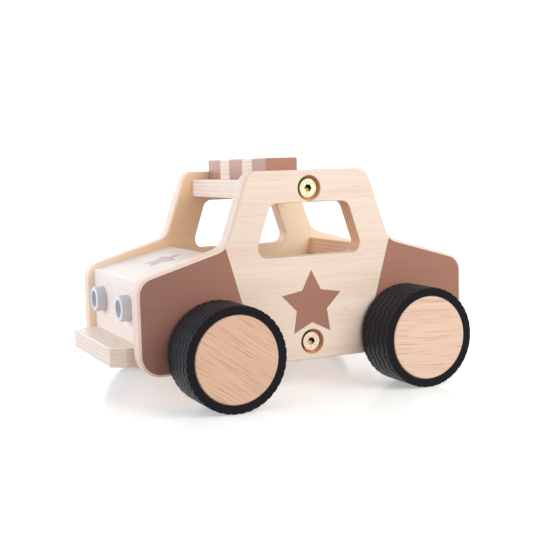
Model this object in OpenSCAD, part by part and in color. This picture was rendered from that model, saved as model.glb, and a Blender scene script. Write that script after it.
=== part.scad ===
// Wooden toy police car: two plywood side panels bolted to cross boards,
// with a wheelset turning in bushes at each end.
// The origin is on the ground under the middle of the car.
// +X points to the front bumper, +Y to the car's left side and +Z up.

/* [Boards] */
// Thickness of every plywood board
board_t = 12; // [10:0.5:14]
// Width over the outer faces of the side panels
body_w = 120; // [110:1:140]
// Rounding along the open edges of the cross boards and the light bar
board_edge = 1; // [0.5:0.1:2]

/* [Side panels] */
// Length of a side panel
panel_l = 233; // [226:1:250]
// Height of the panels' lower edge above the ground
panel_low = 20; // [16:0.5:22]
// Height of the corner at the top of the nose and the tail
nose_z = 79; // [77:0.5:84]
// Height of the feet of the two screens
belt_z = 95.7; // [93:0.1:99]
// Height of the panels' roof edge
roof_z = 142; // [139:0.5:150]
// Length between the feet of the two screens
belt_l = 117.6; // [114:0.2:124]
// Length of the panels' roof edge
roof_l = 84.8; // [81:0.2:92]
// Radius of the nose and tail corners
nose_r = 12; // [6:0.5:16]
// Radius of the corners on the lower edge
sill_r = 14; // [6:0.5:18]
// Radius of the hollow corners at the feet of the screens
belt_r = 12; // [6:0.5:16]
// Radius of the roof corners
roof_r = 9; // [4:0.5:12]
// Rounding along the panels' edges
panel_edge = 1.5; // [0.8:0.1:2]

/* [Side windows] */
// Height of the windows' lower edge
window_low = 87.2; // [82:0.2:92]
// Wood left between the windows' upper edge and the bolt recess above it
window_gap = 0.9; // [0.8:0.1:4]
// Length of the windows' lower edge
window_low_l = 78.2; // [70:0.2:82]
// Length of the windows' upper edge
window_high_l = 55.4; // [48:0.2:60]
// Radius of the windows' corners
window_r = 6.5; // [3:0.5:9]
// Rounding along the windows' edges
window_edge = 0.6; // [0.3:0.1:0.8]

/* [Roof and light bar] */
// Drop from the panels' roof edge to the top of the roof board
roof_drop = 5.6; // [4:0.2:7]
// Length of the roof board
roof_board_l = 75; // [70:0.5:80]
// Distance from the middle of the car to the middle of the light bar
bar_x = 13.3; // [0:0.1:20]
// Depth of the light bar, front to rear
bar_depth = 22; // [16:0.5:28]
// Height of the light bar
bar_h = 13.5; // [10:0.5:18]
// Width of each bare stripe on the light bar
bar_stripe = 16.3; // [10:0.1:20]
// Width of the painted field between the two stripes
bar_field = 21; // [14:0.5:26]

/* [Hood, deck, grille and tail] */
// Distance from the middle of the car to the cabin end of the hood and the deck
hood_end = 56.5; // [54:0.5:60]
// Height of the hood's top at its cabin end
hood_end_z = 90.2; // [87:0.2:93]
// Height of the top edge of the grille board's face
grille_top = 77.4; // [74:0.2:78]
// Set-back of the grille board's face from the panels' front edge
grille_back = 4.6; // [1:0.1:6]

/* [Floor and bumpers] */
// Height of the middle of the floor board and the bumpers
floor_mid = 31.8; // [31:0.1:33]
// Reach of a bumper past the end of the panels
bumper_reach = 13; // [8:0.2:18]
// Length of a bumper's corner cut along the car
bumper_cut_l = 9; // [4:0.5:12]
// Width of a bumper's corner cut across the car
bumper_cut_w = 6.3; // [3:0.1:10]
// Radius of a bumper's corners
bumper_r = 2; // [1:0.1:3]
// Gap from an axle's centre line to the boards before and behind it
axle_gap = 9.5; // [8:0.5:12]

/* [Headlights] */
// Outer diameter of a headlight cup
lamp_d = 16.7; // [14:0.1:20]
// Length of a headlight cup in front of the grille board
lamp_l = 6.7; // [5:0.1:9]
// Diameter of the cup's hollow
lamp_hole_d = 11.2; // [9:0.1:12]
// Thickness of the cup's floor
lamp_floor = 1.5; // [1:0.1:3]
// Radius of the cup's rim
lamp_rim = 0.9; // [0.4:0.1:1.2]
// Distance from a headlight's centre to the side panel beside it
lamp_side = 20.5; // [16:0.5:28]
// Height of the headlights' centres
lamp_z = 59.4; // [56:0.2:62]
// Diameter of the peg behind a headlight
lamp_peg_d = 8; // [6:0.5:9]
// Length of the peg behind a headlight
lamp_peg_l = 7; // [5:0.5:9]

/* [Wheels] */
// Distance between the two axles
wheelbase = 134.8; // [132:0.2:144]
// Outer diameter of a tyre
tyre_d = 64.8; // [62:0.2:66]
// Thickness of a tyre outside its wooden disc
tyre_wall = 5.4; // [4:0.2:7]
// Width of a wheel
wheel_w = 31; // [26:0.5:34]
// Gap between a wheel and its side panel
wheel_gap = 2.5; // [2:0.1:4]
// Chamfer on the edges of a wooden disc
disc_edge = 0.8; // [0.4:0.1:1.2]
// Width of the rib inside a tyre, which sits in a groove of the disc
bead_w = 12; // [8:0.5:16]
// Height of that rib
bead_h = 1.6; // [1:0.1:2.5]
// Chamfer on the shoulders of a tyre
shoulder = 0.6; // [0.4:0.1:1.2]

/* [Tread] */
// Number of waves round a tyre
waves = 20; // [14:1:22]
// Depth of the tread grooves
groove_depth = 0.9; // [0.6:0.1:1.3]
// Width of the tread grooves
groove_w = 1.2; // [0.8:0.1:1.5]
// Swing of a wavy groove to each side
groove_swing = 1; // [0.6:0.1:1.4]
// Number of wavy grooves across a tyre
groove_rows = 5; // [3:1:5]
// Distance between neighbouring wavy grooves
groove_pitch = 5.6; // [5:0.1:5.8]
// Depth of the slots across the tyre's shoulders
slot_depth = 0.5; // [0.3:0.1:0.8]
// Width of those slots
slot_w = 1.2; // [0.8:0.1:1.6]
// Reach of those slots from the tyre's side
slot_l = 3.5; // [2.5:0.1:4]

/* [Axles and bushes] */
// Diameter of an axle
axle_d = 6; // [5:0.5:7]
// Depth to which an axle sits in a wheel disc
axle_grip = 22; // [14:0.5:26]
// Outer diameter of an axle bush
bush_d = 10; // [9:0.5:12]
// Diameter of a bush's flange
flange_d = 15; // [14:0.5:18]
// Play of a wheel between its bush's flange and its end position
end_play = 0.6; // [0.4:0.1:1]
// Running clearance round an axle
run_gap = 0.06; // [0.03:0.01:0.1]

/* [Panel bolts and nuts] */
// Diameter of a bolt's shank
bolt_d = 6; // [5:0.5:6]
// Length of a bolt under its head
bolt_l = 38; // [32:1:44]
// Diameter of a bolt's head
head_d = 13.4; // [11:0.2:14]
// Height of a bolt's head
head_h = 3; // [2.6:0.1:3.5]
// Chamfer on the rim of a bolt's head
head_edge = 0.8; // [0.4:0.1:1.2]
// Width across the flats of a bolt's hex socket
socket_w = 4.4; // [3:0.2:5]
// Depth of a bolt's hex socket
socket_depth = 2.2; // [1.5:0.1:2.4]
// Gap round a bolt's head in its recess
recess_gap = 1.4; // [1:0.1:2]
// Depth of the recess for a bolt's head
recess_depth = 4.6; // [4:0.1:6]
// Diameter of a barrel nut
nut_d = 10; // [9:0.5:11]
// Thickness of wood left above a barrel nut
nut_cover = 1.5; // [1:0.1:2]
// Length of a bolt's end past the middle of its nut
bolt_past = 8; // [6:0.5:10]

/* [Dowels and fits] */
// Diameter of a dowel pin
dowel_d = 6; // [5:0.5:7]
// Length of a dowel pin
dowel_l = 22; // [18:1:28]
// Depth of a dowel pin in a side panel
dowel_in = 7; // [5:0.5:8]
// Distance from a dowel pin's centre to the end of its board
dowel_end = 8; // [7:0.5:10]
// Clearance round pins, pegs, bolts, nuts, bushes and tyres
fit_gap = 0.05; // [0.03:0.01:0.1]

/* [Paint] */
// Thickness of a coat of paint
paint_t = 0.1; // [0.05:0.05:0.2]
// Set-back of the paint from a panel's rounded edge
paint_back = 0.2; // [0.1:0.05:1]
// Distance from the middle of the car to the paint at the panels' lower edge
fender_low = 37; // [30:0.5:44]
// Radius of the star on a side panel, to its points
star_r = 22.3; // [16:0.1:24]
// Radius of the star on a side panel, to the corners between its points
star_waist = 11.5; // [8:0.1:14]
// Height of the centre of the star on a side panel
star_z = 55.9; // [52:0.1:60]
// Radius of the star on the hood, to its points
hood_star_r = 14.7; // [10:0.1:16]
// Radius of the star on the hood, to the corners between its points
hood_star_waist = 7.6; // [5:0.1:9]
// Distance from the middle of the car to the centre of the star on the hood
hood_star_x = 79; // [76:0.5:82]
// Depth to which the paint soaks into the wood
paint_depth = 0.2; // [0.1:0.05:0.5]

/* [Hidden] */
$fn = 64;

wood = [0.93, 0.86, 0.76];
wheel_wood = [0.87, 0.71, 0.57];
paint = [0.60, 0.41, 0.35];
rubber = [0.13, 0.13, 0.14];
grey = [0.75, 0.74, 0.75];
steel = [0.70, 0.71, 0.73];
zinc = [0.80, 0.74, 0.48];
nylon = [0.92, 0.92, 0.90];

arc_steps = 8;
edge_steps = 3;
over = 1;

inner_w = body_w - 2 * board_t;
roof_top = roof_z - roof_drop;
roof_mid = roof_top - board_t / 2;
floor_low = floor_mid - board_t / 2;
floor_top = floor_mid + board_t / 2;

recess_d = head_d + 2 * recess_gap;
window_high = roof_mid - recess_d / 2 - window_gap;
flange_t = wheel_gap - end_play;

grille_x = panel_l / 2 - grille_back;
grille_rear = grille_x - board_t;
grille_mid = grille_x - board_t / 2;
hood_fall = (hood_end_z - grille_top) / (grille_x - hood_end);
hood_angle = atan(hood_fall);
lamp_y = inner_w / 2 - lamp_side;

axle_x = wheelbase / 2;
axle_z = tyre_d / 2;
floor_l = wheelbase - 2 * axle_gap;
bumper_rear = axle_x + axle_gap;
bumper_x = panel_l / 2 + bumper_reach;

disc_d = tyre_d - 2 * tyre_wall;
wheel_in = body_w / 2 + wheel_gap;
wheel_out = wheel_in + wheel_w;
wheel_mid = wheel_in + wheel_w / 2;
axle_l = 2 * (wheel_in + axle_grip);

head_seat = body_w / 2 - recess_depth;
bolt_end = head_seat - bolt_l;
nut_y = bolt_end + bolt_past;
nut_l = board_t - nut_cover;

// Where the dowel pins of each board stand, as places along the car and heights
roof_pins = [for (s = [-1, 1]) [s * (roof_board_l / 2 - dowel_end), roof_mid]];
floor_pins = [for (s = [-1, 1]) [s * (floor_l / 2 - dowel_end), floor_mid]];
hood_pins = [for (x = [hood_end + dowel_end, grille_rear - dowel_end])
    [x - board_t / 2 * sin(hood_angle), hood_top(x) - board_t / 2 * cos(hood_angle)]];
grille_pins = [for (z = [floor_top + dowel_end, grille_top - dowel_end]) [grille_mid, z]];
bumper_pins = [for (x = [bumper_rear + dowel_end, grille_mid]) [x, floor_mid]];

function hood_top(x) = hood_end_z - (x - hood_end) * hood_fall;

function unit(v) = v / norm(v);

// Arc that rounds corner p, which stands between points a and b
function corner_arc(a, p, b, r) =
    r == 0 ? [p] : let (
        u = unit(a - p),
        v = unit(b - p),
        half = acos(u * v) / 2,
        centre = p + unit(u + v) * r / sin(half),
        start = p + u * r / tan(half) - centre,
        stop = p + v * r / tan(half) - centre,
        turn = atan2(start.x * stop.y - start.y * stop.x, start * stop),
        from = atan2(start.y, start.x)
    )
    [for (i = [0:arc_steps])
        let (angle = from + turn * i / arc_steps)
        centre + r * [cos(angle), sin(angle)]];

// Corner points of an outline moved inwards by d
function inset(points, d) =
    let (n = len(points))
    [for (i = [0:n - 1])
        let (
            a = unit(points[i] - points[(i + n - 1) % n]),
            b = unit(points[(i + 1) % n] - points[i]),
            in_a = [-a.y, a.x],
            in_b = [-b.y, b.x]
        )
        points[i] + (in_a + in_b) * d / (1 + in_a * in_b)];

// Outline through corner points, each rounded by its own radius, then all moved inwards by d
function outline(points, radii, d = 0) =
    let (n = len(points), moved = inset(points, d))
    [for (i = [0:n - 1])
        let (
            a = (i + n - 1) % n,
            b = (i + 1) % n,
            turn = sign(cross(points[i] - points[a], points[b] - points[i]))
        )
        each corner_arc(moved[a], moved[i], moved[b], radii[i] - turn * d)];

// Section of a cut that rounds an edge: each point a set-back and a depth below the face
function edge_section(edge) =
    let (
        arc = [for (i = [0:edge_steps])
            let (t = 90 * i / edge_steps) edge * [1 - sin(t), 1 - cos(t)]],
        first = 2 * arc[0] - arc[1],
        last = 2 * arc[edge_steps] - arc[edge_steps - 1]
    )
    concat([first], [for (i = [1:edge_steps - 1]) arc[i]], [last, [last.x, first.y]]);

// A five-pointed star with one point along the second axis
function star(r, waist) = [for (i = [0:9]) (i % 2 == 0 ? r : waist) * [sin(36 * i), cos(36 * i)]];

// The same points at the other end of the car
function to_rear(points) = [for (p = points) [-p.x, p.y]];

module mirrored_side(side) {
    mirror([0, side == "right" ? 1 : 0, 0]) children();
}

module mirrored_end(end) {
    mirror([end == "rear" ? 1 : 0, 0, 0]) children();
}

// Extrudes an outline drawn in X and Z across the car, from y0 to y1
module across(y0, y1) {
    translate([0, y1, 0]) rotate([90, 0, 0]) linear_extrude(y1 - y0) children();
}

// Round bar across the car at the place p, from y0 to y1
module rod(p, d, y0, y1) {
    translate([p.x, y1, p.y]) rotate([90, 0, 0]) cylinder(d = d, h = y1 - y0);
}

// Pins in the left side panel and the board beside it
module pins(places, d, l, y_out) {
    for (p = places) rod(p, d, y_out - l, y_out);
}

// Blind holes for the dowel pins in both ends of a board
module pin_holes(places) {
    for (side = ["left", "right"])
        mirrored_side(side)
            pins(places, dowel_d + 2 * fit_gap, dowel_l + over - dowel_in, inner_w / 2 + over);
}

// All the dowel pins of one board
module dowels(places) {
    color(wheel_wood)
        for (side = ["left", "right"])
            mirrored_side(side) pins(places, dowel_d, dowel_l, inner_w / 2 + dowel_in);
}

// Cut all along an edge, through rings of points, each given as its place across the car and its points
module ring_cut(rings) {
    n = len(rings[0][1]);
    all = len(rings) * n;
    polyhedron(
        points = [for (ring = rings) for (p = ring[1]) [p.x, ring[0], p.y]],
        faces = [for (k = [0:n:all - n]) for (i = [0:n - 1])
            let (next = (i + 1) % n, up = (k + n) % all)
            [k + i, k + next, up + next, up + i]]
    );
}

// Outline of a side panel, moved inwards by d
function panel_outline(d) =
    let (
        h = panel_l / 2,
        front = [[h, panel_low], [h, nose_z], [belt_l / 2, belt_z], [roof_l / 2, roof_z]],
        rear = [for (i = [3:-1:0]) [-front[i].x, front[i].y]],
        radii = [sill_r, nose_r, belt_r, roof_r, roof_r, belt_r, nose_r, sill_r]
    )
    outline(concat(front, rear), radii, d);

// Outline of a side window, moved outwards by d
function window_outline(d) =
    outline(
        [[-window_low_l / 2, window_low], [-window_high_l / 2, window_high],
         [window_high_l / 2, window_high], [window_low_l / 2, window_low]],
        [window_r, window_r, window_r, window_r], d
    );

// Painted fields on a side panel: the two fenders, up to the rounded edge, and the star
module panel_paint() {
    intersection() {
        polygon(panel_outline(panel_edge + paint_back));
        for (end = ["front", "rear"]) mirrored_end(end) polygon([
            [fender_low, panel_low], [belt_l / 2, belt_z], [panel_l, belt_z], [panel_l, panel_low]
        ]);
    }
    translate([0, star_z]) polygon(star(star_r, star_waist));
}

// A side panel with rounded edges and a window
module bare_panel() {
    half = board_t / 2;
    translate([0, body_w / 2 - half, 0]) difference() {
        across(-half, half) polygon(panel_outline(0));
        across(-half - over, half + over) polygon(window_outline(0));
        for (face = [0, 1]) mirror([0, face, 0]) {
            ring_cut([for (s = edge_section(panel_edge)) [half - s.y, panel_outline(s.x)]]);
            ring_cut([for (s = edge_section(window_edge)) [half - s.y, window_outline(s.x)]]);
        }
    }
}

// Holes of a side panel for the bolts, the bushes and the dowel pins
module panel_holes() {
    inner = inner_w / 2;
    outer = body_w / 2;
    for (z = [roof_mid, floor_mid]) {
        rod([0, z], bolt_d + 2 * fit_gap, inner - over, outer);
        rod([0, z], recess_d, head_seat, outer + over);
    }
    for (x = [axle_x, -axle_x]) {
        rod([x, axle_z], bush_d + 2 * fit_gap, inner - over, outer + over);
        rod([x, axle_z], flange_d + 2 * fit_gap, outer, outer + over);
    }
    for (places = [roof_pins, floor_pins, hood_pins, to_rear(hood_pins), grille_pins,
            to_rear(grille_pins), bumper_pins, to_rear(bumper_pins)])
        pins(places, dowel_d + 2 * fit_gap, dowel_in + over, inner + dowel_in);
}

module side_panel(side) {
    mirrored_side(side) {
        color(wood) difference() {
            bare_panel();
            panel_holes();
        }
        color(paint) difference() {
            across(body_w / 2 - paint_depth, body_w / 2 + paint_t) panel_paint();
            panel_holes();
        }
    }
}

// A cross board with the given outline, which reaches from panel to panel
module cross_board(points, radii) {
    across(-inner_w / 2, inner_w / 2) polygon(outline(points, radii));
}

// A level cross board with all four long edges rounded
module level_board(l, mid) {
    low = mid - board_t / 2;
    high = mid + board_t / 2;
    cross_board(
        [[l / 2, low], [l / 2, high], [-l / 2, high], [-l / 2, low]],
        [board_edge, board_edge, board_edge, board_edge]
    );
}

// Bolt holes from both ends of a board, and a blind hole from below for each barrel nut
module bolted(mid) {
    difference() {
        children();
        for (side = ["left", "right"]) mirrored_side(side) {
            rod([0, mid], bolt_d + 2 * fit_gap, bolt_end - over, inner_w / 2 + over);
            translate([0, nut_y, mid - board_t / 2 - over])
                cylinder(d = nut_d + 2 * fit_gap, h = nut_l + over);
        }
    }
}

module roof_board() {
    color(wood) difference() {
        bolted(roof_mid) level_board(roof_board_l, roof_mid);
        pin_holes(roof_pins);
    }
}

module floor_board() {
    color(wood) difference() {
        bolted(floor_mid) level_board(floor_l, floor_mid);
        pin_holes(floor_pins);
    }
}

// The board of the hood, and at the other end of the rear deck
module sloping_board() {
    foot = [hood_end - board_t * sin(hood_angle), hood_end_z - board_t * cos(hood_angle)];
    top = hood_top(grille_rear);
    difference() {
        cross_board(
            [[grille_rear, top - board_t / cos(hood_angle)], [grille_rear, top],
             [hood_end, hood_end_z], foot],
            [0, 0, board_edge, board_edge]
        );
        pin_holes(hood_pins);
    }
}

// The hood board with its star, one point towards the windscreen
module hood_board() {
    color(wood) sloping_board();
    color(paint) translate([hood_star_x, 0, hood_top(hood_star_x)])
        rotate([0, hood_angle, 0]) translate([0, 0, -paint_depth]) linear_extrude(paint_depth + paint_t)
            rotate(90) polygon(star(hood_star_r, hood_star_waist));
}

module rear_deck() {
    color(wood) mirrored_end("rear") sloping_board();
}

// The grille board, which holds the headlights, and at the other end the plain tail board
module upright_board(end) {
    color(wood) mirrored_end(end) difference() {
        cross_board(
            [[grille_rear, floor_top], [grille_x, floor_top],
             [grille_x, grille_top], [grille_rear, hood_top(grille_rear)]],
            [0, 0, board_edge, 0]
        );
        pin_holes(grille_pins);
        if (end == "front")
            for (y = [-lamp_y, lamp_y])
                translate([grille_x - lamp_peg_l, y, lamp_z])
                    rotate([0, 90, 0]) cylinder(d = lamp_peg_d + 2 * fit_gap, h = lamp_peg_l + over);
    }
}

module bumper(end) {
    half = inner_w / 2;
    color(wood) mirrored_end(end) difference() {
        translate([0, 0, floor_low]) linear_extrude(board_t) polygon(outline(
            [[bumper_rear, -half], [bumper_x - bumper_cut_l, -half], [bumper_x, -half + bumper_cut_w],
             [bumper_x, half - bumper_cut_w], [bumper_x - bumper_cut_l, half], [bumper_rear, half]],
            [0, bumper_r, bumper_r, bumper_r, bumper_r, 0]
        ));
        pin_holes(bumper_pins);
    }
}

// A stretch of the light bar, with a coat of the given thickness
module bar_block(y0, y1, coat) {
    front = bar_x + bar_depth / 2 + coat;
    rear = bar_x - bar_depth / 2 - coat;
    top = roof_top + bar_h + coat;
    across(y0, y1) polygon(outline(
        [[front, roof_top], [front, top], [rear, top], [rear, roof_top]],
        [0, board_edge, board_edge, 0]
    ));
}

// The light bar: painted, with two bare stripes across it
module light_bar() {
    end = inner_w / 2;
    edge = bar_field / 2;
    color(wood) bar_block(-end, end, 0);
    color(paint) {
        bar_block(-edge, edge, paint_t);
        for (side = ["left", "right"]) mirrored_side(side) bar_block(edge + bar_stripe, end, paint_t);
    }
}

// A headlight cup with a rounded rim, on a peg
module headlight(side) {
    r = lamp_d / 2;
    hole = lamp_hole_d / 2;
    color(grey) mirrored_side(side)
        translate([grille_x, lamp_y, lamp_z]) rotate([0, 90, 0]) {
            translate([0, 0, -lamp_peg_l + fit_gap]) cylinder(d = lamp_peg_d, h = lamp_peg_l - fit_gap);
            rotate_extrude() difference() {
                union() {
                    square([r, lamp_l - lamp_rim]);
                    square([r - lamp_rim, lamp_l]);
                    translate([r - lamp_rim, lamp_l - lamp_rim]) circle(r = lamp_rim);
                }
                translate([0, lamp_floor]) square([hole, lamp_l]);
                translate([-r, -over]) square([r, lamp_l + 2 * over]);
            }
        }
}

module axle(end) {
    color(steel) mirrored_end(end)
        rod([axle_x, axle_z], axle_d, -axle_l / 2 + fit_gap, axle_l / 2 - fit_gap);
}

// Sets a shape turned about its own Z axis on an axle, with Z pointing out of the car
module on_axle(end, side) {
    mirrored_end(end) mirrored_side(side) translate([axle_x, 0, axle_z]) rotate([-90, 0, 0]) children();
}

// A wooden disc with chamfered edges, a groove for the tyre's rib and a blind hole for the axle
module disc(end, side) {
    r = disc_d / 2;
    color(wheel_wood) on_axle(end, side) difference() {
        rotate_extrude() polygon([
            [0, wheel_in], [r - disc_edge, wheel_in], [r, wheel_in + disc_edge],
            [r, wheel_mid - bead_w / 2], [r - bead_h, wheel_mid - bead_w / 2],
            [r - bead_h, wheel_mid + bead_w / 2], [r, wheel_mid + bead_w / 2],
            [r, wheel_out - disc_edge], [r - disc_edge, wheel_out], [0, wheel_out]
        ]);
        translate([0, 0, wheel_in - over]) cylinder(d = axle_d + 2 * fit_gap, h = axle_grip + over);
    }
}

// One wavy groove round a tyre, made of straight cuts that lean to either side in turn
module wavy_groove(z) {
    step = 180 / waves;
    run = PI * tyre_d / (2 * waves);
    lean = atan(2 * groove_swing / run);
    for (i = [0:2 * waves - 1])
        rotate([0, 0, i * step])
            translate([tyre_d / 2 - groove_depth, 0, z])
                rotate([i % 2 == 0 ? lean : -lean, 0, 0])
                    translate([0, -run / cos(lean) / 2 - groove_w / 4, -groove_w / 2])
                        cube([groove_depth + over, run / cos(lean) + groove_w / 2, groove_w]);
}

// Slots across both shoulders of a tyre, one at each turn of the wavy grooves
module shoulder_slots() {
    for (i = [0:2 * waves - 1])
        rotate([0, 0, (i + 0.5) * 180 / waves])
            for (z = [wheel_in - over, wheel_out - slot_l])
                translate([tyre_d / 2 - slot_depth, -slot_w / 2, z])
                    cube([slot_depth + over, slot_w, slot_l + over]);
}

// A rubber tyre with a rib inside, chamfered shoulders and a wavy tread
module tyre(end, side) {
    seat = disc_d / 2 + fit_gap;
    r = tyre_d / 2;
    bead = bead_w / 2 - fit_gap;
    color(rubber) on_axle(end, side) difference() {
        rotate_extrude() polygon([
            [seat, wheel_in], [r - shoulder, wheel_in], [r, wheel_in + shoulder],
            [r, wheel_out - shoulder], [r - shoulder, wheel_out], [seat, wheel_out],
            [seat, wheel_mid + bead], [seat - bead_h, wheel_mid + bead],
            [seat - bead_h, wheel_mid - bead], [seat, wheel_mid - bead]
        ]);
        for (row = [0:groove_rows - 1])
            wavy_groove(wheel_mid + (row - (groove_rows - 1) / 2) * groove_pitch);
        shoulder_slots();
    }
}

// A flanged bush, whose flange keeps the wheel off the side panel
module bush(end, side) {
    color(nylon) on_axle(end, side) difference() {
        union() {
            translate([0, 0, inner_w / 2]) cylinder(d = bush_d, h = board_t + flange_t);
            translate([0, 0, body_w / 2]) cylinder(d = flange_d, h = flange_t);
        }
        translate([0, 0, inner_w / 2 - over])
            cylinder(d = axle_d + 2 * run_gap, h = board_t + flange_t + 2 * over);
    }
}

// A flat-headed bolt with a hex socket
module bolt(side, z) {
    color(zinc) mirrored_side(side) translate([0, head_seat, z]) rotate([-90, 0, 0]) difference() {
        union() {
            translate([0, 0, -bolt_l]) cylinder(d = bolt_d, h = bolt_l);
            rotate_extrude() polygon([
                [0, 0], [head_d / 2, 0], [head_d / 2, head_h - head_edge],
                [head_d / 2 - head_edge, head_h], [0, head_h]
            ]);
        }
        translate([0, 0, head_h - socket_depth])
            cylinder(d = socket_w / cos(30), h = socket_depth + over, $fn = 6);
    }
}

// A barrel nut, which stands in a board and takes the end of a bolt
module nut(side, mid) {
    color(steel) mirrored_side(side) difference() {
        translate([0, nut_y, mid - board_t / 2]) cylinder(d = nut_d, h = nut_l - fit_gap);
        rod([0, mid], bolt_d + 2 * fit_gap, nut_y - nut_d, nut_y + nut_d);
    }
}

side_panel("left");  // left_side_panel
side_panel("right");  // right_side_panel
roof_board();
floor_board();
hood_board();
rear_deck();
upright_board("front");  // grille_board
upright_board("rear");  // tail_board
bumper("front");  // front_bumper
bumper("rear");  // rear_bumper
light_bar();
headlight("left");  // left_headlight
headlight("right");  // right_headlight
axle("front");  // front_axle
axle("rear");  // rear_axle
disc("front", "left");  // front_left_disc
disc("front", "right");  // front_right_disc
disc("rear", "left");  // rear_left_disc
disc("rear", "right");  // rear_right_disc
tyre("front", "left");  // front_left_tyre
tyre("front", "right");  // front_right_tyre
tyre("rear", "left");  // rear_left_tyre
tyre("rear", "right");  // rear_right_tyre
bush("front", "left");  // front_left_bush
bush("front", "right");  // front_right_bush
bush("rear", "left");  // rear_left_bush
bush("rear", "right");  // rear_right_bush
bolt("left", roof_mid);  // left_roof_bolt
bolt("right", roof_mid);  // right_roof_bolt
bolt("left", floor_mid);  // left_floor_bolt
bolt("right", floor_mid);  // right_floor_bolt
nut("left", roof_mid);  // left_roof_nut
nut("right", roof_mid);  // right_roof_nut
nut("left", floor_mid);  // left_floor_nut
nut("right", floor_mid);  // right_floor_nut
dowels(roof_pins);  // roof_dowels
dowels(floor_pins);  // floor_dowels
dowels(hood_pins);  // hood_dowels
dowels(to_rear(hood_pins));  // deck_dowels
dowels(grille_pins);  // grille_dowels
dowels(to_rear(grille_pins));  // tail_dowels
dowels(bumper_pins);  // front_bumper_dowels
dowels(to_rear(bumper_pins));  // rear_bumper_dowels
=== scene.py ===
import math

import bmesh
import bpy
from mathutils import Matrix, Vector


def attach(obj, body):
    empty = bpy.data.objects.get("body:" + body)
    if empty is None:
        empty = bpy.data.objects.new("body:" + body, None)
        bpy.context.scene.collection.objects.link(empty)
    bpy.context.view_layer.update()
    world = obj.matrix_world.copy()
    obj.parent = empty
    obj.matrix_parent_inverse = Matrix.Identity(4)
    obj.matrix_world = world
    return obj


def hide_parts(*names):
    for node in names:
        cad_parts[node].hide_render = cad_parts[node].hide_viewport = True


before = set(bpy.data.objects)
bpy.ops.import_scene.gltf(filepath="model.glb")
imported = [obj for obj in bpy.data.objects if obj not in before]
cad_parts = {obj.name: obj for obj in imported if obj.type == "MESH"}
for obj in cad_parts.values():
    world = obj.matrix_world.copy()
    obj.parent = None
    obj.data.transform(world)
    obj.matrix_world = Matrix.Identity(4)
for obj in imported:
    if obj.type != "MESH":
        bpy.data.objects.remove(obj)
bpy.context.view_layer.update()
scene = bpy.context.scene
mm = 0.001
merge = 0.002 * mm  # points nearer than this become one
forward, leftward, upward, downward = (1, 0, 0), (0, 1, 0), (0, 0, 1), (0, 0, -1)
print("frame:", len(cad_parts), "nodes")


def tint(red, green, blue):  # a colour as seen on a screen, 0 to 255, made linear
    parts = [c / 255 for c in (red, green, blue)]
    return tuple(c / 12.92 if c < 0.04 else ((c + 0.055) / 1.055) ** 2.4 for c in parts) + (1.0,)


class Wire:  # one output of a shader node, with sums that add nodes of their own
    def __init__(self, tree, socket=None):
        self.tree = tree
        self.socket = socket

    def node(self, kind, settings=None, inputs=None, out=0):
        made = self.tree.nodes.new("ShaderNode" + kind)
        for key, value in (settings or {}).items():
            setattr(made, key, value)
        for key, value in (inputs or {}).items():
            if isinstance(value, Wire):
                self.tree.links.new(value.socket, made.inputs[key])
            else:
                made.inputs[key].default_value = value
        return Wire(self.tree, made.outputs[out] if made.outputs else None)

    def maths(self, operation, *values):
        return self.node("Math", {"operation": operation}, dict(enumerate(values)))

    def __add__(self, other):
        return self.maths("ADD", self, other)

    def __radd__(self, other):
        return self.maths("ADD", other, self)

    def __sub__(self, other):
        return self.maths("SUBTRACT", self, other)

    def __rsub__(self, other):
        return self.maths("SUBTRACT", other, self)

    def __mul__(self, other):
        return self.maths("MULTIPLY", self, other)

    def __rmul__(self, other):
        return self.maths("MULTIPLY", other, self)

    def __truediv__(self, other):
        return self.maths("DIVIDE", self, other)

    def __rtruediv__(self, other):
        return self.maths("DIVIDE", other, self)

    def __abs__(self):
        return self.maths("ABSOLUTE", self)

    def step(self, low, high):  # 0 below low, 1 above high, smooth between
        return self.node("MapRange", {"interpolation_type": "SMOOTHSTEP"}, {0: self, 1: low, 2: high})

    def dot(self, way):
        return self.node("VectorMath", {"operation": "DOT_PRODUCT"}, {0: self, 1: list(way)}, "Value")

    def along(self, way):  # distance in mm along a direction
        return self.dot([c / mm for c in way])

    def axes(self):  # X, Y and Z in mm
        return [self.along(way) for way in (forward, leftward, upward)]

    def facing(self, way):  # how squarely a normal looks along a direction
        return abs(self.dot(way))

    def noise(self, x, y, z, detail=3.0, rough=0.5):
        spot = self.node("CombineXYZ", None, {0: x, 1: y, 2: z})
        inputs = {"Vector": spot, "Scale": 1.0, "Detail": detail, "Roughness": rough}
        return self.node("TexNoise", None, inputs)

    def blend(self, share, first, second):  # colours, by a share
        return self.node("Mix", {"data_type": "RGBA"}, {0: share, 6: first, 7: second}, 2)

    def mix(self, first, second):  # colours, by this value
        return self.blend(self, first, second)


def newMaterial(name):
    material = bpy.data.materials.new(name)
    material.use_nodes = True
    material.node_tree.nodes.clear()
    return material, Wire(material.node_tree)


def finishMaterial(start, colour, rough, height, depth, **fixed):
    bump = start.node("Bump", None, {"Strength": 1.0, "Distance": depth * mm, "Height": height})
    inputs = {"Base Color": colour, "Roughness": rough, "Normal": bump}
    inputs.update({key.replace("_", " "): value for key, value in fixed.items()})
    shader = start.node("BsdfPrincipled", None, inputs)
    start.node("OutputMaterial", None, {"Surface": shader})


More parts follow.
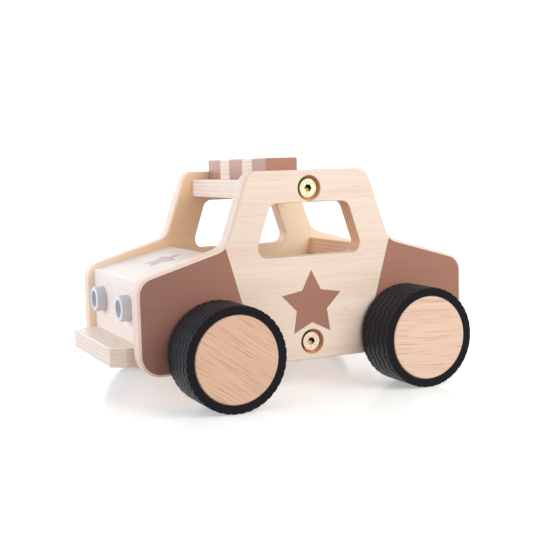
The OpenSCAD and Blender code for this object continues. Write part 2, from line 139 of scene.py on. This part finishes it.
woodLook = {
    "plies": 9, "ply": 12 / 9, "glue": 0.07, "lines": 0.42, "flecks": 0.5, "ends": 0.22, "endPits": 0.35,
    "pale": tint(244, 223, 209), "tan": tint(235, 207, 187), "fleck": tint(208, 164, 130),
    "end": tint(218, 178, 152), "glueLine": tint(168, 126, 96),
    # next line: painted light, paler and greyer copies of the wood for boards in strong light, and painted warm
    # shade for the rear deck
    "litPale": tint(231, 219, 210), "hoodLitGrey": tint(213, 203, 200), "deckWarmShade": tint(250, 190, 128),
    # next line: painted bounce light on the faces towards the cabin
    "inner": tint(254, 232, 202), "innerFront": tint(255, 216, 170),
    # next line: painted shade on the window walls
    "wall": tint(247, 196, 154), "wallShadeDark": tint(204, 138, 98),
    "bored": tint(244, 190, 140), "boredShare": 0.8,
    "paint": tint(168, 118, 100), "paintDark": tint(161, 112, 95),
    # next line: painted shade darkening the paint towards the front, and paler paint standing in for the
    # stronger light on the light bar
    "paintShade": tint(136, 94, 88), "barPaintLit": tint(188, 140, 122),
    "stripe": (10.5, 26.8),
}


def plywood(name, board, seed, painted=None):
    look = woodLook
    material, start = newMaterial(name)
    place = start.node("TexCoord", out="Object")
    normal = start.node("TexCoord", out="Normal")
    x, y, z = place.axes()
    depthWay = Vector(board["depth"]).normalized()
    grainWay = Vector(board.get("grain", leftward)).normalized()
    sideWay = depthWay.cross(grainWay)
    u = place.along(grainWay)
    v = place.along(sideWay)
    w = place.along(depthWay) - Vector(board["face"]).dot(depthWay)  # depth below the face

    # plies, each with its grain across that of the next
    wobble = (start.noise(u * 0.03, v * 0.03, seed) - 0.5) * 0.35
    layer = start.maths("MAXIMUM", (w + wobble) / look["ply"], 0.05)
    layer = start.maths("MINIMUM", layer, look["plies"] - 0.05)
    index = start.maths("FLOOR", layer)
    odd = 2 * start.maths("FRACT", index / 2)
    length = u + (v - u) * odd
    cross = v + (u - v) * odd
    seam = abs(layer - start.maths("ROUND", layer)) * look["ply"]
    inside = w.step(0.5, 0.7) * (1 - w.step(11.3, 11.5))
    glue = (1 - seam.step(look["glue"] * 0.5, look["glue"] * 2)) * inside
    endOn = normal.facing(grainWay)
    endOn = endOn + (normal.facing(sideWay) - endOn) * odd

    streak = start.noise(length * 0.013, cross * 0.55, w * 0.6 + index * 7.1 + seed, 5.0, 0.62)
    band = start.noise(length * 0.005, cross * 0.07, index * 3.7 + seed, 2.0)
    fleck = start.noise(length * 0.10, cross * 1.5, w * 1.5 + seed * 2, 1.0).step(0.70, 0.75)
    pits = start.noise(length * 0.25, cross * 3.0, w * 3.0 + seed, 2.0)
    tone = streak.step(0.38, 0.72) * 0.6 + band.step(0.3, 0.75) * 0.5
    colour = tone.mix(look["pale"], look["tan"])
    # the wash: a painted lit copy of the wood, or painted warm shade, by board
    if "wash" in board:
        shade, share = board["wash"]
        colour = start.blend(share, colour, look[shade])
    colour = (fleck * look["flecks"]).mix(colour, look["fleck"])
    ends = endOn * (look["ends"] + look["endPits"] * pits) * board.get("edge", 1.0)
    colour = ends.mix(colour, look["end"])
    if "window" in board:  # its upright walls, browner: painted shade, stronger on one panel than the other
        half, lean, sill, lintel, share = board["window"]
        off = abs(x) + (z - sill) * lean
        wall = 1 - off.step(half + 0.5, half + 1.5)
        wall = wall * z.step(sill - 1, sill) * (1 - z.step(lintel, lintel + 1))
        wall = wall * normal.facing(forward).step(0.3, 0.8) * share
        colour = wall.mix(colour, odd.mix(look["wall"], look["wallShadeDark"]))
    colour = (glue * board.get("lines", look["lines"])).mix(colour, look["glueLine"])
    if "inner" in board:  # the face towards the cabin: painted bounce light, lighter and warmer, most towards the front
        flat = normal.facing(depthWay).step(0.6, 0.95)
        inner = (x.step(0.0, 40.0) * (1 - x.step(75.0, 105.0))).mix(look["inner"], look["innerFront"])
        colour = (w.step(11.0, 11.9) * flat * board["inner"]).mix(colour, inner)
    for height, reach in board.get("holes", ()):  # walls of bored holes, browner
        up = z - height
        away = start.maths("SQRT", x * x + up * up)
        bored = w.step(0.2, 0.5) * (1 - away.step(reach + 0.05, reach + 0.3)) * look["boredShare"]
        colour = bored.mix(colour, look["bored"])
    rough = 0.46 + 0.12 * streak
    height = streak * 0.6 - fleck * 0.3 - glue * 0.3

    if painted:
        brown = streak.step(0.3, 0.75).mix(look["paint"], look["paintDark"])
        # painted shade: the paint darker towards the front
        brown = (x.step(40.0, 125.0) * 0.65).mix(brown, look["paintShade"])
        if painted == "coat":  # the coat stands above the face
            mask = (0 - w).step(0.03, 0.07)
        else:  # all but two bare stripes
            low, high = look["stripe"]
            far = abs(y)
            far = far + (start.noise(x * 0.8, far * 0.1, z * 0.8) - 0.5) * 0.3
            mask = 1 - far.step(low - 0.1, low + 0.1) * (1 - far.step(high - 0.1, high + 0.1))
            # painted light: paler paint on the light bar, standing in for the stronger light on it
            brown = start.blend(0.5, brown, look["barPaintLit"])
        colour = mask.mix(colour, brown)
        rough = rough - mask * 0.1
        height = height * (1 - 0.5 * mask)
    finishMaterial(start, colour, rough, height, 0.05, Specular_IOR_Level=0.4)
    return material


discLook = {
    "front": {"pale": tint(231, 192, 166), "tan": tint(219, 174, 146), "pore": tint(170, 118, 92)},
    "rear": {"pale": tint(239, 207, 186), "tan": tint(228, 189, 167), "pore": tint(190, 138, 114)},
}


def discWood(name, look, angle, seed):
    material, start = newMaterial(name)
    place = start.node("TexCoord", out="Object")
    normal = start.node("TexCoord", out="Normal")
    grainWay = (math.cos(angle), 0, math.sin(angle))
    sideWay = (-math.sin(angle), 0, math.cos(angle))
    u = place.along(grainWay)
    v = place.along(sideWay)
    w = place.along(leftward)
    v = v + (start.noise(u * 0.02, v * 0.03, w * 0.02 + seed) - 0.5) * 3.5  # bends the grain
    streak = start.noise(u * 0.014, v * 1.6, w * 0.1 + seed, 5.0, 0.65)
    band = start.noise(u * 0.006, v * 0.12, w * 0.05 + seed * 3, 2.0)
    pore = start.noise(u * 0.035, v * 2.8, w * 0.5 + seed * 5, 2.0).step(0.55, 0.68)
    tone = streak.step(0.35, 0.7) * 0.5 + band.step(0.3, 0.7) * 0.4
    colour = tone.mix(look["pale"], look["tan"])
    colour = (pore * 0.75).mix(colour, look["pore"])
    colour = (normal.facing(grainWay) * 0.3).mix(colour, look["pore"])
    slant = normal.facing(leftward)  # the chamfer catches the light
    colour = (slant.step(0.4, 0.6) * (1 - slant.step(0.8, 0.95)) * 0.6).mix(colour, look["pale"])
    height = streak * 0.6 - pore * 0.5
    finishMaterial(start, colour, 0.42 + 0.14 * streak, height, 0.06, Specular_IOR_Level=0.4)
    return material


rubberTints = {"tread": (tint(27, 26, 29), tint(41, 39, 43)), "wall": (tint(10, 9, 13), tint(15, 14, 19))}


def rubberLook(name):
    material, start = newMaterial(name)
    x, y, z = start.node("TexCoord", out="Object").axes()
    wall = start.node("TexCoord", out="Normal").facing(leftward).step(0.6, 0.9)
    cloud = start.noise(x * 0.08, y * 0.08, z * 0.08, 3.0)
    grain = start.noise(x * 2.5, y * 2.5, z * 2.5, 2.0)
    tone = cloud.step(0.3, 0.7) * 0.6 + grain * 0.4
    colour = wall.mix(tone.mix(*rubberTints["tread"]), tone.mix(*rubberTints["wall"]))
    rough = 0.46 + 0.12 * tone + 0.1 * wall
    finishMaterial(start, colour, rough, grain * 0.6 + cloud, 0.05, Specular_IOR_Level=0.17)
    return material


greyTints = {"cup": (tint(222, 219, 224), tint(214, 211, 216)), "hollow": tint(150, 151, 163)}


def greyLook(name):
    material, start = newMaterial(name)
    x, y, z = start.node("TexCoord", out="Object").axes()
    cloud = start.noise(x * 0.2, y * 0.2, z * 0.2, 3.0)
    grain = start.noise(x * 3, y * 3, z * 3, 2.0)
    # painted shade inside the cup's hollow
    hollow = 1 - x.step(112.5, 117.5)
    colour = cloud.step(0.3, 0.7).mix(*greyTints["cup"])
    colour = (hollow * 0.12).mix(colour, greyTints["hollow"])
    finishMaterial(start, colour, 0.44 + 0.16 * grain, grain, 0.03, Specular_IOR_Level=0.4)
    return material


bolts = {
    "roof": {"height": 130.4, "tints": (tint(226, 230, 182), tint(250, 242, 210))},
    "floor": {"height": 31.8, "tints": (tint(240, 198, 188), tint(214, 206, 182))},
}
boltHead = {
    "face": 58.4, "flat": 5.9, "socket": 3.0, "ease": 0.2,
    # painted glints, painted shade on the chamfer and in the socket, and a painted lit patch on the socket's
    # floor
    "ring": tint(172, 158, 126), "paintedGlint": tint(252, 248, 236), "chamfer": tint(52, 42, 30),
    "hole": tint(44, 30, 24), "socketLit": tint(240, 208, 104),
}


def zincLook(name, bolt):  # yellow zinc, turned round the bolt's axis
    material, start = newMaterial(name)
    x, y, z = start.node("TexCoord", out="Object").axes()
    z = z - bolt["height"]
    radius = start.maths("SQRT", x * x + z * z)
    rings = start.noise(radius * 2.6, 0.0, 0.0, 3.0)
    cloud = start.noise(x * 0.36, y * 0.36, z * 0.36 + bolt["height"], 3.0)
    # painted glints: pale spots standing in for reflections on the metal
    paintedGlint = start.noise(x * 0.8, y * 0.8, z * 0.8 + bolt["height"], 1.0).step(0.55, 0.65)
    colour = cloud.step(0.4, 0.6).mix(*bolt["tints"])
    colour = (rings.step(0.4, 0.65) * 0.3).mix(colour, boltHead["ring"])
    colour = (paintedGlint * 0.6).mix(colour, boltHead["paintedGlint"])
    # painted shade: chamfer dark on one side, socket dark but for a painted lit patch on the lower part of its
    # floor
    rim = radius.step(boltHead["flat"] - 0.1, boltHead["flat"] + 0.1)
    turned = (x + z * 0.4) / (radius + 0.01)
    colour = (rim * turned.step(0.0, 0.8) * 0.85).mix(colour, boltHead["chamfer"])
    deep = 1 - abs(y).step(boltHead["face"] - 0.9, boltHead["face"] - 0.1)
    inside = deep * (1 - radius.step(boltHead["socket"] - 0.3, boltHead["socket"]))
    lit = (0 - z).step(-0.2, 0.8) * x.step(-1.9, -1.4)
    colour = inside.mix(colour, (lit * 0.8).mix(boltHead["hole"], boltHead["socketLit"]))
    finishMaterial(start, colour, 0.22 + 0.16 * rings, rings, 0.03, Metallic=1.0)
    return material


def drawnLook(name, base, dark, metal):  # bars and bushes, with lines along Y
    material, start = newMaterial(name)
    x, y, z = start.node("TexCoord", out="Object").axes()
    lines = start.noise(x * 3, y * 0.08, z * 3, 3.0)
    cloud = start.noise(x * 0.3, y * 0.3, z * 0.3, 2.0)
    colour = (lines * 0.6 + cloud * 0.4).step(0.3, 0.7).mix(base, dark)
    finishMaterial(start, colour, 0.3 + 0.2 * lines, lines, 0.02, Metallic=metal)
    return material


def nodeMesh(node):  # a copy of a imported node, merged
    mesh = bmesh.new()
    mesh.from_mesh(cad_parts[node].data)
    bmesh.ops.remove_doubles(mesh, verts=mesh.verts, dist=merge)
    bmesh.ops.dissolve_limit(mesh, angle_limit=math.radians(0.4), verts=mesh.verts, edges=mesh.edges)
    return mesh


def ease(mesh, width, chosen=lambda middle: True, segments=3, least=50):  # rounds the chosen edges
    edges = []
    for edge in mesh.edges:
        middle = (edge.verts[0].co + edge.verts[1].co) / (2 * mm)
        if edge.is_manifold and edge.calc_face_angle() > math.radians(least) and chosen(middle):
            edges.append(edge)
    bmesh.ops.bevel(mesh, geom=edges, offset=width * mm, offset_type="OFFSET", segments=segments,
                    profile=0.5, affect="EDGES", clamp_overlap=True, material=-1)


def spun(profile, steps, closed):  # a profile of radius and Y, turned round the Y axis
    mesh = bmesh.new()
    points = [mesh.verts.new((r * mm, y * mm, 0)) for r, y in profile]
    nexts = points[1:] + points[:1] if closed else points[1:]
    edges = [mesh.edges.new(pair) for pair in zip(points, nexts)]
    bmesh.ops.spin(mesh, geom=points + edges, cent=(0, 0, 0), axis=leftward, dvec=(0, 0, 0),
                   angle=2 * math.pi, steps=steps, use_merge=True, use_duplicate=False)
    bmesh.ops.remove_doubles(mesh, verts=mesh.verts, dist=merge)
    return mesh


def addPiece(name, mesh, nodes, body, material, sharp=36):
    bmesh.ops.recalc_face_normals(mesh, faces=mesh.faces)
    for face in mesh.faces:
        face.smooth = True
    for edge in mesh.edges:
        edge.smooth = edge.calc_face_angle(0) < math.radians(sharp)
    data = bpy.data.meshes.new(name)
    mesh.to_mesh(data)
    mesh.free()
    data.materials.append(material)
    piece = bpy.data.objects.new(name, data)
    scene.collection.objects.link(piece)
    shade = piece.modifiers.new("faceWeights", "WEIGHTED_NORMAL")
    shade.keep_sharp = True
    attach(piece, body)
    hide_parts(*nodes)


# window: half its sill, lean, sill and lintel; and, by side, how much painted shade its walls take
panel = {
    "face": 60.0, "recess": 8.1, "rim": 0.35, "inner": 0.75, "edge": 1.5,
    "window": (39.1, 1 / 3, 87.2, 121.4), "wallShadeShare": {"left": 0.9, "right": 0.45},
}
boltHeights = [bolt["height"] for bolt in bolts.values()]


def onRecessRim(middle):
    reach = min(math.hypot(middle.x, middle.z - height) for height in boltHeights)
    return abs(reach - panel["recess"]) < 0.2 and abs(abs(middle.y) - panel["face"]) < 0.2


for seed, (side, way) in enumerate((("left", 1), ("right", -1))):
    board = {
        "face": (0, way * panel["face"], 0), "depth": (0, -way, 0), "grain": forward,
        "inner": panel["inner"], "edge": panel["edge"],
        "holes": [(height, panel["recess"]) for height in boltHeights],
        "window": panel["window"] + (panel["wallShadeShare"][side],),
    }
    mesh = nodeMesh(side + "_side_panel")
    ease(mesh, panel["rim"], onRecessRim)
    look = plywood(side + "PanelWood", board, 3.1 + 17.7 * seed, "coat")
    addPiece(side + "Panel", mesh, [side + "_side_panel"], "body", look)
print("panels done")

slope = {"back": 56.5, "top": 90.2, "front": 111.9, "low": 77.4}  # of the hood, and of the rear deck
hoodTurn = math.atan((slope["top"] - slope["low"]) / (slope["front"] - slope["back"]))
bumper = {
    "face": (0, 0, 37.8), "depth": downward, "ease": 0.7, "easeFrom": 117,
    "wash": ("litPale", 0.25), "edge": 0.45, "lines": 0.6,
}
boards = {
    "roof_board": {"face": (0, 0, 136.4), "depth": downward, "edge": 0.6},
    "floor_board": {"face": (0, 0, 37.8), "depth": downward},
    "hood_board": {
        "face": (slope["back"], 0, slope["top"]), "depth": (-math.sin(hoodTurn), 0, -math.cos(hoodTurn)),
        "painted": "coat", "wash": ("hoodLitGrey", 0.5), "edge": 0.6, "lines": 0.3,
    },
    "rear_deck": {
        "face": (-slope["back"], 0, slope["top"]), "depth": (math.sin(hoodTurn), 0, -math.cos(hoodTurn)),
        "wash": ("deckWarmShade", 0.6), "edge": 1.3, "lines": 0.9,
    },
    "grille_board": {
        "face": (slope["front"], 0, 0), "depth": (-1, 0, 0),
        "wash": ("litPale", 0.5), "edge": 0.45, "lines": 0.3,
    },
    "tail_board": {"face": (-slope["front"], 0, 0), "depth": forward},
    "front_bumper": bumper,
    "rear_bumper": bumper,
    "light_bar": {"face": (0, 0, 149.9), "depth": downward, "painted": "stripes"},
}
for seed, (node, board) in enumerate(boards.items()):
    mesh = nodeMesh(node)
    if "ease" in board:
        ease(mesh, board["ease"], lambda middle: abs(middle.x) > board["easeFrom"])
    first, second = node.split("_")
    look = plywood(first + second.title() + "Wood", board, 41.3 + 9.1 * seed, board.get("painted"))
    slot = "painted_wood" if node == "light_bar" else "plywood"
    addPiece(first + second.title(), mesh, [node], "body", look)
print("boards done")

tyre = {
    "axle": (67.4, 32.4), "in": 62.5, "out": 93.5, "seat": 27.05, "outer": 32.4, "shoulder": 0.6,
    "steps": 640, "lines": 92, "waves": 20, "rows": (-2, -1, 0, 1, 2), "pitch": 5.6,
    "groove": 0.9, "grooveWidth": 1.2, "swing": 1.0, "slot": 0.5, "slotWidth": 1.2, "slotLength": 3.5,
}
wheelHalf = (tyre["out"] - tyre["in"]) / 2
wheelMiddle = (tyre["in"] + tyre["out"]) / 2


def cutDepth(off, width, depth):  # a groove's depth at a distance from its middle, with leaning walls
    return depth * min(1.0, max(0.0, 1.5 - 2 * abs(off) / width))


def treadDepth(turn, across):
    waves = turn / (2 * math.pi) * tyre["waves"]
    swing = tyre["swing"] * (abs(4 * (waves % 1) - 2) - 1)
    cuts = [cutDepth(across - row * tyre["pitch"] - swing, tyre["grooveWidth"], tyre["groove"])
            for row in tyre["rows"]]
    if wheelHalf - abs(across) < tyre["slotLength"]:
        part = ((2 * waves + 0.5) % 1 - 0.5) * math.pi * tyre["outer"] / tyre["waves"]
        cuts.append(cutDepth(part, tyre["slotWidth"], tyre["slot"]))
    return max(cuts)


def tyreMesh():
    flat = wheelHalf - tyre["shoulder"]
    wall = tyre["outer"] - tyre["shoulder"]
    profile = [(tyre["seat"], -wheelHalf), (wall, -wheelHalf)]
    profile += [(tyre["outer"], flat * (2 * i / tyre["lines"] - 1)) for i in range(tyre["lines"] + 1)]
    profile += [(wall, wheelHalf), (tyre["seat"], wheelHalf)]
    mesh = spun(profile, tyre["steps"], True)
    for vert in mesh.verts:
        radius = math.hypot(vert.co.x, vert.co.z) / mm
        if radius > tyre["outer"] - 0.1:
            depth = treadDepth(math.atan2(vert.co.z, vert.co.x), vert.co.y / mm)
            vert.co.x *= (radius - depth) / radius
            vert.co.z *= (radius - depth) / radius
    return mesh


# grain: its turn on each disc, in degrees
disc = {
    "outer": 27.0, "edge": 0.8, "steps": 160,
    "grain": {"front_left": 35, "front_right": 62, "rear_left": 3, "rear_right": -24},
}


def discMesh():
    flat = disc["outer"] - disc["edge"]
    shoulder = wheelHalf - disc["edge"]
    profile = [(0, -wheelHalf), (flat, -wheelHalf), (disc["outer"], -shoulder),
               (disc["outer"], shoulder), (flat, wheelHalf), (0, wheelHalf)]
    return spun(profile, disc["steps"], False)


rubber = rubberLook("rubber")
tyreBase = tyreMesh()
for seed, (place, angle) in enumerate(disc["grain"].items()):
    end, side = place.split("_")
    name = end + side.title()
    body = end + "_wheelset"
    axleX, axleZ = tyre["axle"]
    spot = Vector((axleX if end == "front" else -axleX, wheelMiddle if side == "left" else -wheelMiddle, axleZ))
    spot = Matrix.Translation(spot * mm)

    mesh = tyreBase.copy()
    bmesh.ops.transform(mesh, matrix=spot @ Matrix.Rotation(0.7 * seed, 4, "Y"), verts=mesh.verts)
    addPiece(name + "Tyre", mesh, [place + "_tyre"], body, rubber, 50)

    mesh = discMesh()
    bmesh.ops.transform(mesh, matrix=spot, verts=mesh.verts)
    look = discWood(name + "DiscWood", discLook[end], math.radians(angle), 2.7 + 5.3 * seed)
    addPiece(name + "Disc", mesh, [place + "_disc"], body, look, 30)
tyreBase.free()
print("wheels done")

for side in ("left", "right"):
    for level, bolt in bolts.items():
        node = side + "_" + level + "_bolt"
        mesh = nodeMesh(node)
        ease(mesh, boltHead["ease"], least=25, segments=2)
        look = zincLook(side + level.title() + "BoltZinc", bolt)
        addPiece(side + level.title() + "Bolt", mesh, [node], "body", look)
lampGrey = greyLook("lampGrey")
for side in ("left", "right"):
    mesh = nodeMesh(side + "_headlight")
    addPiece(side + "Headlight", mesh, [side + "_headlight"], "body", lampGrey)
print("bolts and headlights done")

# nodes shown as they are packed, by the last word of their names
hiddenLooks = {
    "axle": drawnLook("axleSteel", tint(190, 191, 194), tint(160, 161, 165), 1.0),
    "nut": drawnLook("nutSteel", tint(196, 194, 186), tint(168, 166, 158), 1.0),
    "bush": drawnLook("bushNylon", tint(236, 236, 232), tint(224, 224, 219), 0.0),
    "dowels": discWood("dowelWood", discLook["rear"], 0.0, 31.9),
}
for name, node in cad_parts.items():
    look = hiddenLooks.get(name.split("_")[-1])
    if look:
        node.data.materials.clear()
        node.data.materials.append(look)
print("hidden parts done")

# strengths of the world for diffuse light, for reflections and as seen by the camera
studio = {
    "floorSize": 30.0, "floorTints": (tint(236, 236, 236), tint(240, 240, 240)), "floorGlow": 0.34,
    "sky": 0.55, "shine": 1.18, "white": 1.2,
}
plainWhite = (1, 1, 1, 1)
mesh = bmesh.new()
bmesh.ops.create_grid(mesh, x_segments=1, y_segments=1, size=studio["floorSize"])
data = bpy.data.meshes.new("floor")
mesh.to_mesh(data)
mesh.free()
floor = bpy.data.objects.new("floor", data)
scene.collection.objects.link(floor)
material, start = newMaterial("floorWhite")
x, y, z = start.node("TexCoord", out="Object").axes()
cloud = start.noise(x * 0.01, y * 0.01, 0.0)
shader = start.node("BsdfPrincipled", None, {
    "Base Color": cloud.mix(*studio["floorTints"]), "Roughness": 0.16, "Specular IOR Level": 0.2,
    "Emission Color": plainWhite, "Emission Strength": studio["floorGlow"]})
start.node("OutputMaterial", None, {"Surface": shader})
data.materials.append(material)
floor.visible_diffuse = False
floor.visible_glossy = False

world = bpy.data.worlds.new("studio")
world.use_nodes = True
world.node_tree.nodes.clear()
start = Wire(world.node_tree)
sky, shine, white = [start.node("Background", None, {"Color": plainWhite, "Strength": studio[key]})
                     for key in ("sky", "shine", "white")]
sky = start.node("MixShader", None, {0: start.node("LightPath", out="Is Glossy Ray"), 1: sky, 2: shine})
sky = start.node("MixShader", None, {0: start.node("LightPath", out="Is Camera Ray"), 1: sky, 2: white})
start.node("OutputWorld", None, {"Surface": sky})
scene.world = world


def lookAt(holder, place, aim, roll=0.0):  # sets an object at a place in mm, towards an aim
    turn = (Vector(aim) - Vector(place)).to_track_quat("-Z", "Y").to_matrix().to_4x4()
    rolled = Matrix.Rotation(math.radians(roll), 4, "Z")
    holder.matrix_world = Matrix.Translation(Vector(place) * mm) @ turn @ rolled
    scene.collection.objects.link(holder)


lamps = {
    "front": {"place": (1039, -278, 299), "size": 0.8, "power": 7.2, "tone": (0.78, 0.95, 1.12)},
    "side": {"place": (-220, 590, 360), "size": 0.5, "power": 2.72, "tone": (1.0, 1.02, 0.97)},
    "back": {"place": (102, -1169, 319), "size": 0.8, "power": 5.4, "tone": (0.86, 0.97, 1.05)},
}
lampAim = (0, 0, 70)
for name, lamp in lamps.items():
    light = bpy.data.lights.new(name, "AREA")
    light.shape = "DISK"
    light.size = lamp["size"]
    light.energy = lamp["power"]
    light.color = lamp["tone"]
    holder = bpy.data.objects.new(name, light)
    holder.visible_camera = False
    holder.visible_glossy = name != "side"  # keeps its glare off the bolts
    lookAt(holder, lamp["place"], lampAim)

eye = {
    "place": (295.0, 618.9, 146.7), "aim": (6.5, 7.2, 76.4), "roll": -1.555,
    "lens": 67.05, "sensor": 36.0, "reach": 100.0,
}
camera = bpy.data.cameras.new("camera")
camera.lens = eye["lens"]
camera.sensor_width = eye["sensor"]
camera.clip_end = eye["reach"]
holder = bpy.data.objects.new("camera", camera)
lookAt(holder, eye["place"], eye["aim"], eye["roll"])
scene.camera = holder
scene.view_settings.view_transform = "Standard"
print("stage done")
